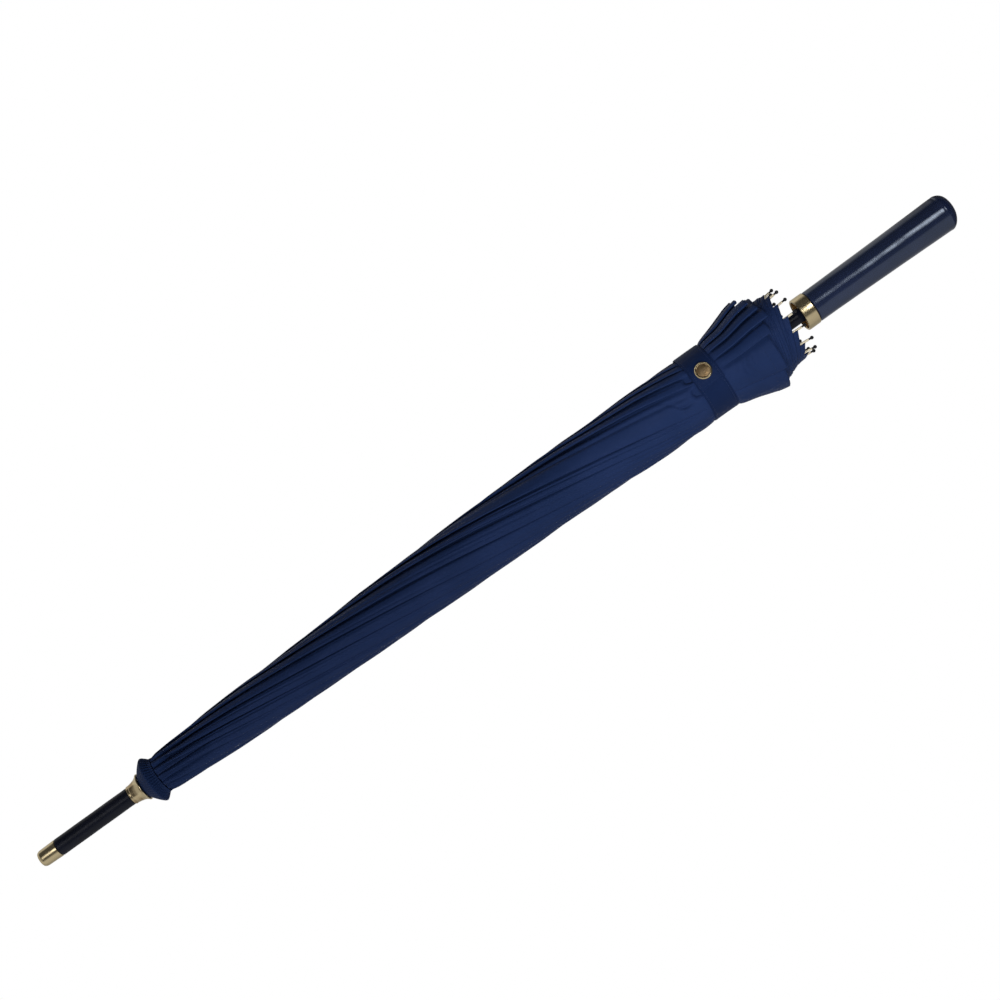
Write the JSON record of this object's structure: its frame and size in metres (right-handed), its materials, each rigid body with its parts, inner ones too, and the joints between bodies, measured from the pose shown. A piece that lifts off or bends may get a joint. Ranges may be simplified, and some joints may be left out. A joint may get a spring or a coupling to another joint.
{
  "type": "stick umbrella",
  "caption": "Closed and strapped stick umbrella with a straight leather-covered handle, gold fittings and a folding ribbed frame.",
  "frame": {"origin": "centre of the handle's flat end face, on the shaft's axis", "axes": "+Z along the shaft from the handle to the ferrule; -Y is the side where the strap's snap is; +X completes the right-handed frame"},
  "size_m": [0.0842, 0.0844, 0.917],
  "materials": {
    "shaft_black": "satin",
    "gold": "satin",
    "spring_steel": "satin",
    "rib_black": "satin",
    "notch_plastic": "matte",
    "beech": "matte",
    "navy_leather": "gloss",
    "canopy_cloth": "satin",
    "strap_cloth": "satin"
  },
  "bodies": {
    "frame": {"shaft": "shaft_black", "ferrule_tube": "shaft_black", "ferrule_tip": "gold", "top_cap": "gold", "rosette": "canopy_cloth", "crown": "notch_plastic", "crown_wire": "spring_steel", "stop_pin": "spring_steel", "handle_core": "beech", "handle_leather": "navy_leather", "handle_collar": "gold"},
    "runner": {"runner": "notch_plastic"},
    "top_catch": {"top_catch": "spring_steel"},
    "bottom_catch": {"bottom_catch": "spring_steel"},
    "strap": {"strap": "strap_cloth", "snap_cap": "gold"},
    "rib_01": {"rib_01": "rib_black"},
    "stretcher_01": {"stretcher_01": "rib_black"},
    "canopy_panel_01": {"canopy_panel_01": "canopy_cloth"},
    "rib_02": {"rib_02": "rib_black"},
    "stretcher_02": {"stretcher_02": "rib_black"},
    "canopy_panel_02": {"canopy_panel_02": "canopy_cloth"},
    "rib_03": {"rib_03": "rib_black"},
    "stretcher_03": {"stretcher_03": "rib_black"},
    "canopy_panel_03": {"canopy_panel_03": "canopy_cloth"},
    "rib_04": {"rib_04": "rib_black"},
    "stretcher_04": {"stretcher_04": "rib_black"},
    "canopy_panel_04": {"canopy_panel_04": "canopy_cloth"},
    "rib_05": {"rib_05": "rib_black"},
    "stretcher_05": {"stretcher_05": "rib_black"},
    "canopy_panel_05": {"canopy_panel_05": "canopy_cloth"},
    "rib_06": {"rib_06": "rib_black"},
    "stretcher_06": {"stretcher_06": "rib_black"},
    "canopy_panel_06": {"canopy_panel_06": "canopy_cloth"},
    "rib_07": {"rib_07": "rib_black"},
    "stretcher_07": {"stretcher_07": "rib_black"},
    "canopy_panel_07": {"canopy_panel_07": "canopy_cloth"},
    "rib_08": {"rib_08": "rib_black"},
    "stretcher_08": {"stretcher_08": "rib_black"},
    "canopy_panel_08": {"canopy_panel_08": "canopy_cloth"},
    "rib_09": {"rib_09": "rib_black"},
    "stretcher_09": {"stretcher_09": "rib_black"},
    "canopy_panel_09": {"canopy_panel_09": "canopy_cloth"},
    "rib_10": {"rib_10": "rib_black"},
    "stretcher_10": {"stretcher_10": "rib_black"},
    "canopy_panel_10": {"canopy_panel_10": "canopy_cloth"},
    "rib_11": {"rib_11": "rib_black"},
    "stretcher_11": {"stretcher_11": "rib_black"},
    "canopy_panel_11": {"canopy_panel_11": "canopy_cloth"},
    "rib_12": {"rib_12": "rib_black"},
    "stretcher_12": {"stretcher_12": "rib_black"},
    "canopy_panel_12": {"canopy_panel_12": "canopy_cloth"},
    "rib_13": {"rib_13": "rib_black"},
    "stretcher_13": {"stretcher_13": "rib_black"},
    "canopy_panel_13": {"canopy_panel_13": "canopy_cloth"},
    "rib_14": {"rib_14": "rib_black"},
    "stretcher_14": {"stretcher_14": "rib_black"},
    "canopy_panel_14": {"canopy_panel_14": "canopy_cloth"}
  },
  "joints": [
    {"name": "runner_slide", "type": "slide", "parent": "frame", "child": "runner", "axis": [0, 0, 1], "range_m": [0, 0.3814]},
    {"name": "top_catch_press", "type": "slide", "parent": "frame", "child": "top_catch", "axis": [1, 0, 0], "range_m": [0, 0.0023], "stiffness_N_per_m": 200},
    {"name": "bottom_catch_press", "type": "slide", "parent": "frame", "child": "bottom_catch", "axis": [1, 0, 0], "range_m": [0, 0.0023], "stiffness_N_per_m": 200},
    {"name": "rib_01_hinge", "type": "hinge", "parent": "frame", "child": "rib_01", "pos_m": [0.00182, -0.00983, 0.79], "axis": [-0.9833, -0.1822, 0], "range_deg": [0, 68.41]},
    {"name": "stretcher_01_hinge", "type": "hinge", "parent": "rib_01", "child": "stretcher_01", "pos_m": [0.0033, -0.01779, 0.50011], "axis": [-0.9833, -0.1822, 0], "range_deg": [-136.81, 0]},
    {"name": "canopy_panel_01_spread", "type": "hinge", "parent": "rib_01", "child": "canopy_panel_01", "pos_m": [0.00124, -0.00287, 0.79472], "axis": [0.3305, -0.7653, -0.5523], "range_deg": [0, 28.75], "deforming": ["canopy_panel_01"]},
    {"name": "rib_02_hinge", "type": "hinge", "parent": "frame", "child": "rib_02", "pos_m": [0.00591, -0.00807, 0.79], "axis": [-0.8068, -0.5908, 0], "range_deg": [0, 68.41]},
    {"name": "stretcher_02_hinge", "type": "hinge", "parent": "rib_02", "child": "stretcher_02", "pos_m": [0.01069, -0.0146, 0.50011], "axis": [-0.8068, -0.5908, 0], "range_deg": [-136.81, 0]},
    {"name": "canopy_panel_02_spread", "type": "hinge", "parent": "rib_02", "child": "canopy_panel_02", "pos_m": [0.00236, -0.00205, 0.79472], "axis": [0.6298, -0.5461, -0.5523], "range_deg": [0, 28.75], "deforming": ["canopy_panel_02"]},
    {"name": "rib_03_hinge", "type": "hinge", "parent": "frame", "child": "rib_03", "pos_m": [0.00882, -0.00471, 0.79], "axis": [-0.4706, -0.8824, 0], "range_deg": [0, 68.41]},
    {"name": "stretcher_03_hinge", "type": "hinge", "parent": "rib_03", "child": "stretcher_03", "pos_m": [0.01597, -0.00852, 0.50011], "axis": [-0.4706, -0.8824, 0], "range_deg": [-136.81, 0]},
    {"name": "canopy_panel_03_spread", "type": "hinge", "parent": "rib_03", "child": "canopy_panel_03", "pos_m": [0.00302, -0.00082, 0.79472], "axis": [0.8044, -0.2188, -0.5523], "range_deg": [0, 28.75], "deforming": ["canopy_panel_03"]},
    {"name": "rib_04_hinge", "type": "hinge", "parent": "frame", "child": "rib_04", "pos_m": [0.00999, -0.00041, 0.79], "axis": [-0.0411, -0.9992, 0], "range_deg": [0, 68.41]},
    {"name": "stretcher_04_hinge", "type": "hinge", "parent": "rib_04", "child": "stretcher_04", "pos_m": [0.01808, -0.00074, 0.50011], "axis": [-0.0411, -0.9992, 0], "range_deg": [-136.81, 0]},
    {"name": "canopy_panel_04_spread", "type": "hinge", "parent": "rib_04", "child": "canopy_panel_04", "pos_m": [0.00308, 0.00057, 0.79472], "axis": [0.8197, 0.1519, -0.5523], "range_deg": [0, 28.75], "deforming": ["canopy_panel_04"]},
    {"name": "rib_05_hinge", "type": "hinge", "parent": "frame", "child": "rib_05", "pos_m": [0.00918, 0.00396, 0.79], "axis": [0.3965, -0.9181, 0], "range_deg": [0, 68.41]},
    {"name": "stretcher_05_hinge", "type": "hinge", "parent": "rib_05", "child": "stretcher_05", "pos_m": [0.01661, 0.00717, 0.50011], "axis": [0.3965, -0.9181, 0], "range_deg": [-136.81, 0]},
    {"name": "canopy_panel_05_spread", "type": "hinge", "parent": "rib_05", "child": "canopy_panel_05", "pos_m": [0.00252, 0.00185, 0.79472], "axis": [0.6726, 0.4925, -0.5523], "range_deg": [0, 28.75], "deforming": ["canopy_panel_05"]},
    {"name": "rib_06_hinge", "type": "hinge", "parent": "frame", "child": "rib_06", "pos_m": [0.00655, 0.00756, 0.79], "axis": [0.7555, -0.6551, 0], "range_deg": [0, 68.41]},
    {"name": "stretcher_06_hinge", "type": "hinge", "parent": "rib_06", "child": "stretcher_06", "pos_m": [0.01186, 0.01367, 0.50011], "axis": [0.7555, -0.6551, 0], "range_deg": [-136.81, 0]},
    {"name": "canopy_panel_06_spread", "type": "hinge", "parent": "rib_06", "child": "canopy_panel_06", "pos_m": [0.00147, 0.00276, 0.79472], "axis": [0.3923, 0.7356, -0.5523], "range_deg": [0, 28.75], "deforming": ["canopy_panel_06"]},
    {"name": "rib_07_hinge", "type": "hinge", "parent": "frame", "child": "rib_07", "pos_m": [0.00262, 0.00965, 0.79], "axis": [0.965, -0.2624, 0], "range_deg": [0, 68.41]},
    {"name": "stretcher_07_hinge", "type": "hinge", "parent": "rib_07", "child": "stretcher_07", "pos_m": [0.00475, 0.01746, 0.50011], "axis": [0.965, -0.2624, 0], "range_deg": [-136.81, 0]},
    {"name": "canopy_panel_07_spread", "type": "hinge", "parent": "rib_07", "child": "canopy_panel_07", "pos_m": [0.00013, 0.00313, 0.79472], "axis": [0.0343, 0.8329, -0.5523], "range_deg": [0, 28.75], "deforming": ["canopy_panel_07"]},
    {"name": "rib_08_hinge", "type": "hinge", "parent": "frame", "child": "rib_08", "pos_m": [-0.00182, 0.00983, 0.79], "axis": [0.9833, 0.1822, 0], "range_deg": [0, 68.41]},
    {"name": "stretcher_08_hinge", "type": "hinge", "parent": "rib_08", "child": "stretcher_08", "pos_m": [-0.0033, 0.01779, 0.50011], "axis": [0.9833, 0.1822, 0], "range_deg": [-136.81, 0]},
    {"name": "canopy_panel_08_spread", "type": "hinge", "parent": "rib_08", "child": "canopy_panel_08", "pos_m": [-0.00124, 0.00287, 0.79472], "axis": [-0.3305, 0.7653, -0.5523], "range_deg": [0, 28.75], "deforming": ["canopy_panel_08"]},
    {"name": "rib_09_hinge", "type": "hinge", "parent": "frame", "child": "rib_09", "pos_m": [-0.00591, 0.00807, 0.79], "axis": [0.8068, 0.5908, 0], "range_deg": [0, 68.41]},
    {"name": "stretcher_09_hinge", "type": "hinge", "parent": "rib_09", "child": "stretcher_09", "pos_m": [-0.01069, 0.0146, 0.50011], "axis": [0.8068, 0.5908, 0], "range_deg": [-136.81, 0]},
    {"name": "canopy_panel_09_spread", "type": "hinge", "parent": "rib_09", "child": "canopy_panel_09", "pos_m": [-0.00236, 0.00205, 0.79472], "axis": [-0.6298, 0.5461, -0.5523], "range_deg": [0, 28.75], "deforming": ["canopy_panel_09"]},
    {"name": "rib_10_hinge", "type": "hinge", "parent": "frame", "child": "rib_10", "pos_m": [-0.00882, 0.00471, 0.79], "axis": [0.4706, 0.8824, 0], "range_deg": [0, 68.41]},
    {"name": "stretcher_10_hinge", "type": "hinge", "parent": "rib_10", "child": "stretcher_10", "pos_m": [-0.01597, 0.00852, 0.50011], "axis": [0.4706, 0.8824, 0], "range_deg": [-136.81, 0]},
    {"name": "canopy_panel_10_spread", "type": "hinge", "parent": "rib_10", "child": "canopy_panel_10", "pos_m": [-0.00302, 0.00082, 0.79472], "axis": [-0.8044, 0.2188, -0.5523], "range_deg": [0, 28.75], "deforming": ["canopy_panel_10"]},
    {"name": "rib_11_hinge", "type": "hinge", "parent": "frame", "child": "rib_11", "pos_m": [-0.00999, 0.00041, 0.79], "axis": [0.0411, 0.9992, 0], "range_deg": [0, 68.41]},
    {"name": "stretcher_11_hinge", "type": "hinge", "parent": "rib_11", "child": "stretcher_11", "pos_m": [-0.01808, 0.00074, 0.50011], "axis": [0.0411, 0.9992, 0], "range_deg": [-136.81, 0]},
    {"name": "canopy_panel_11_spread", "type": "hinge", "parent": "rib_11", "child": "canopy_panel_11", "pos_m": [-0.00308, -0.00057, 0.79472], "axis": [-0.8197, -0.1519, -0.5523], "range_deg": [0, 28.75], "deforming": ["canopy_panel_11"]},
    {"name": "rib_12_hinge", "type": "hinge", "parent": "frame", "child": "rib_12", "pos_m": [-0.00918, -0.00396, 0.79], "axis": [-0.3965, 0.9181, 0], "range_deg": [0, 68.41]},
    {"name": "stretcher_12_hinge", "type": "hinge", "parent": "rib_12", "child": "stretcher_12", "pos_m": [-0.01661, -0.00717, 0.50011], "axis": [-0.3965, 0.9181, 0], "range_deg": [-136.81, 0]},
    {"name": "canopy_panel_12_spread", "type": "hinge", "parent": "rib_12", "child": "canopy_panel_12", "pos_m": [-0.00252, -0.00185, 0.79472], "axis": [-0.6726, -0.4925, -0.5523], "range_deg": [0, 28.75], "deforming": ["canopy_panel_12"]},
    {"name": "rib_13_hinge", "type": "hinge", "parent": "frame", "child": "rib_13", "pos_m": [-0.00655, -0.00756, 0.79], "axis": [-0.7555, 0.6551, 0], "range_deg": [0, 68.41]},
    {"name": "stretcher_13_hinge", "type": "hinge", "parent": "rib_13", "child": "stretcher_13", "pos_m": [-0.01186, -0.01367, 0.50011], "axis": [-0.7555, 0.6551, 0], "range_deg": [-136.81, 0]},
    {"name": "canopy_panel_13_spread", "type": "hinge", "parent": "rib_13", "child": "canopy_panel_13", "pos_m": [-0.00147, -0.00276, 0.79472], "axis": [-0.3923, -0.7356, -0.5523], "range_deg": [0, 28.75], "deforming": ["canopy_panel_13"]},
    {"name": "rib_14_hinge", "type": "hinge", "parent": "frame", "child": "rib_14", "pos_m": [-0.00262, -0.00965, 0.79], "axis": [-0.965, 0.2624, 0], "range_deg": [0, 68.41]},
    {"name": "stretcher_14_hinge", "type": "hinge", "parent": "rib_14", "child": "stretcher_14", "pos_m": [-0.00475, -0.01746, 0.50011], "axis": [-0.965, 0.2624, 0], "range_deg": [-136.81, 0]},
    {"name": "canopy_panel_14_spread", "type": "hinge", "parent": "rib_14", "child": "canopy_panel_14", "pos_m": [-0.00013, -0.00313, 0.79472], "axis": [-0.0343, -0.8329, -0.5523], "range_deg": [0, 28.75], "deforming": ["canopy_panel_14"]},
    {"name": "strap_unwrap", "type": "hinge", "parent": "rib_02", "child": "strap", "pos_m": [0.0148, -0.02563, 0.2465], "axis": [0, 0, 1], "range_deg": [0, 170.01], "deforming": ["strap", "snap_cap"]}
  ],
  "couplings": [
    {"joint": "rib_01_hinge", "follows": "runner_slide", "rad_per_m": 3.13},
    {"joint": "stretcher_01_hinge", "follows": "runner_slide", "rad_per_m": -6.2601},
    {"joint": "canopy_panel_01_spread", "follows": "runner_slide", "rad_per_m": 1.3152},
    {"joint": "rib_02_hinge", "follows": "runner_slide", "rad_per_m": 3.13},
    {"joint": "stretcher_02_hinge", "follows": "runner_slide", "rad_per_m": -6.2601},
    {"joint": "canopy_panel_02_spread", "follows": "runner_slide", "rad_per_m": 1.3152},
    {"joint": "rib_03_hinge", "follows": "runner_slide", "rad_per_m": 3.13},
    {"joint": "stretcher_03_hinge", "follows": "runner_slide", "rad_per_m": -6.2601},
    {"joint": "canopy_panel_03_spread", "follows": "runner_slide", "rad_per_m": 1.3152},
    {"joint": "rib_04_hinge", "follows": "runner_slide", "rad_per_m": 3.13},
    {"joint": "stretcher_04_hinge", "follows": "runner_slide", "rad_per_m": -6.2601},
    {"joint": "canopy_panel_04_spread", "follows": "runner_slide", "rad_per_m": 1.3152},
    {"joint": "rib_05_hinge", "follows": "runner_slide", "rad_per_m": 3.13},
    {"joint": "stretcher_05_hinge", "follows": "runner_slide", "rad_per_m": -6.2601},
    {"joint": "canopy_panel_05_spread", "follows": "runner_slide", "rad_per_m": 1.3152},
    {"joint": "rib_06_hinge", "follows": "runner_slide", "rad_per_m": 3.13},
    {"joint": "stretcher_06_hinge", "follows": "runner_slide", "rad_per_m": -6.2601},
    {"joint": "canopy_panel_06_spread", "follows": "runner_slide", "rad_per_m": 1.3152},
    {"joint": "rib_07_hinge", "follows": "runner_slide", "rad_per_m": 3.13},
    {"joint": "stretcher_07_hinge", "follows": "runner_slide", "rad_per_m": -6.2601},
    {"joint": "canopy_panel_07_spread", "follows": "runner_slide", "rad_per_m": 1.3152},
    {"joint": "rib_08_hinge", "follows": "runner_slide", "rad_per_m": 3.13},
    {"joint": "stretcher_08_hinge", "follows": "runner_slide", "rad_per_m": -6.2601},
    {"joint": "canopy_panel_08_spread", "follows": "runner_slide", "rad_per_m": 1.3152},
    {"joint": "rib_09_hinge", "follows": "runner_slide", "rad_per_m": 3.13},
    {"joint": "stretcher_09_hinge", "follows": "runner_slide", "rad_per_m": -6.2601},
    {"joint": "canopy_panel_09_spread", "follows": "runner_slide", "rad_per_m": 1.3152},
    {"joint": "rib_10_hinge", "follows": "runner_slide", "rad_per_m": 3.13},
    {"joint": "stretcher_10_hinge", "follows": "runner_slide", "rad_per_m": -6.2601},
    {"joint": "canopy_panel_10_spread", "follows": "runner_slide", "rad_per_m": 1.3152},
    {"joint": "rib_11_hinge", "follows": "runner_slide", "rad_per_m": 3.13},
    {"joint": "stretcher_11_hinge", "follows": "runner_slide", "rad_per_m": -6.2601},
    {"joint": "canopy_panel_11_spread", "follows": "runner_slide", "rad_per_m": 1.3152},
    {"joint": "rib_12_hinge", "follows": "runner_slide", "rad_per_m": 3.13},
    {"joint": "stretcher_12_hinge", "follows": "runner_slide", "rad_per_m": -6.2601},
    {"joint": "canopy_panel_12_spread", "follows": "runner_slide", "rad_per_m": 1.3152},
    {"joint": "rib_13_hinge", "follows": "runner_slide", "rad_per_m": 3.13},
    {"joint": "stretcher_13_hinge", "follows": "runner_slide", "rad_per_m": -6.2601},
    {"joint": "canopy_panel_13_spread", "follows": "runner_slide", "rad_per_m": 1.3152},
    {"joint": "rib_14_hinge", "follows": "runner_slide", "rad_per_m": 3.13},
    {"joint": "stretcher_14_hinge", "follows": "runner_slide", "rad_per_m": -6.2601},
    {"joint": "canopy_panel_14_spread", "follows": "runner_slide", "rad_per_m": 1.3152},
    {"joint": "strap_unwrap", "follows": "runner_slide", "rad_per_m": 7.7793}
  ]
}
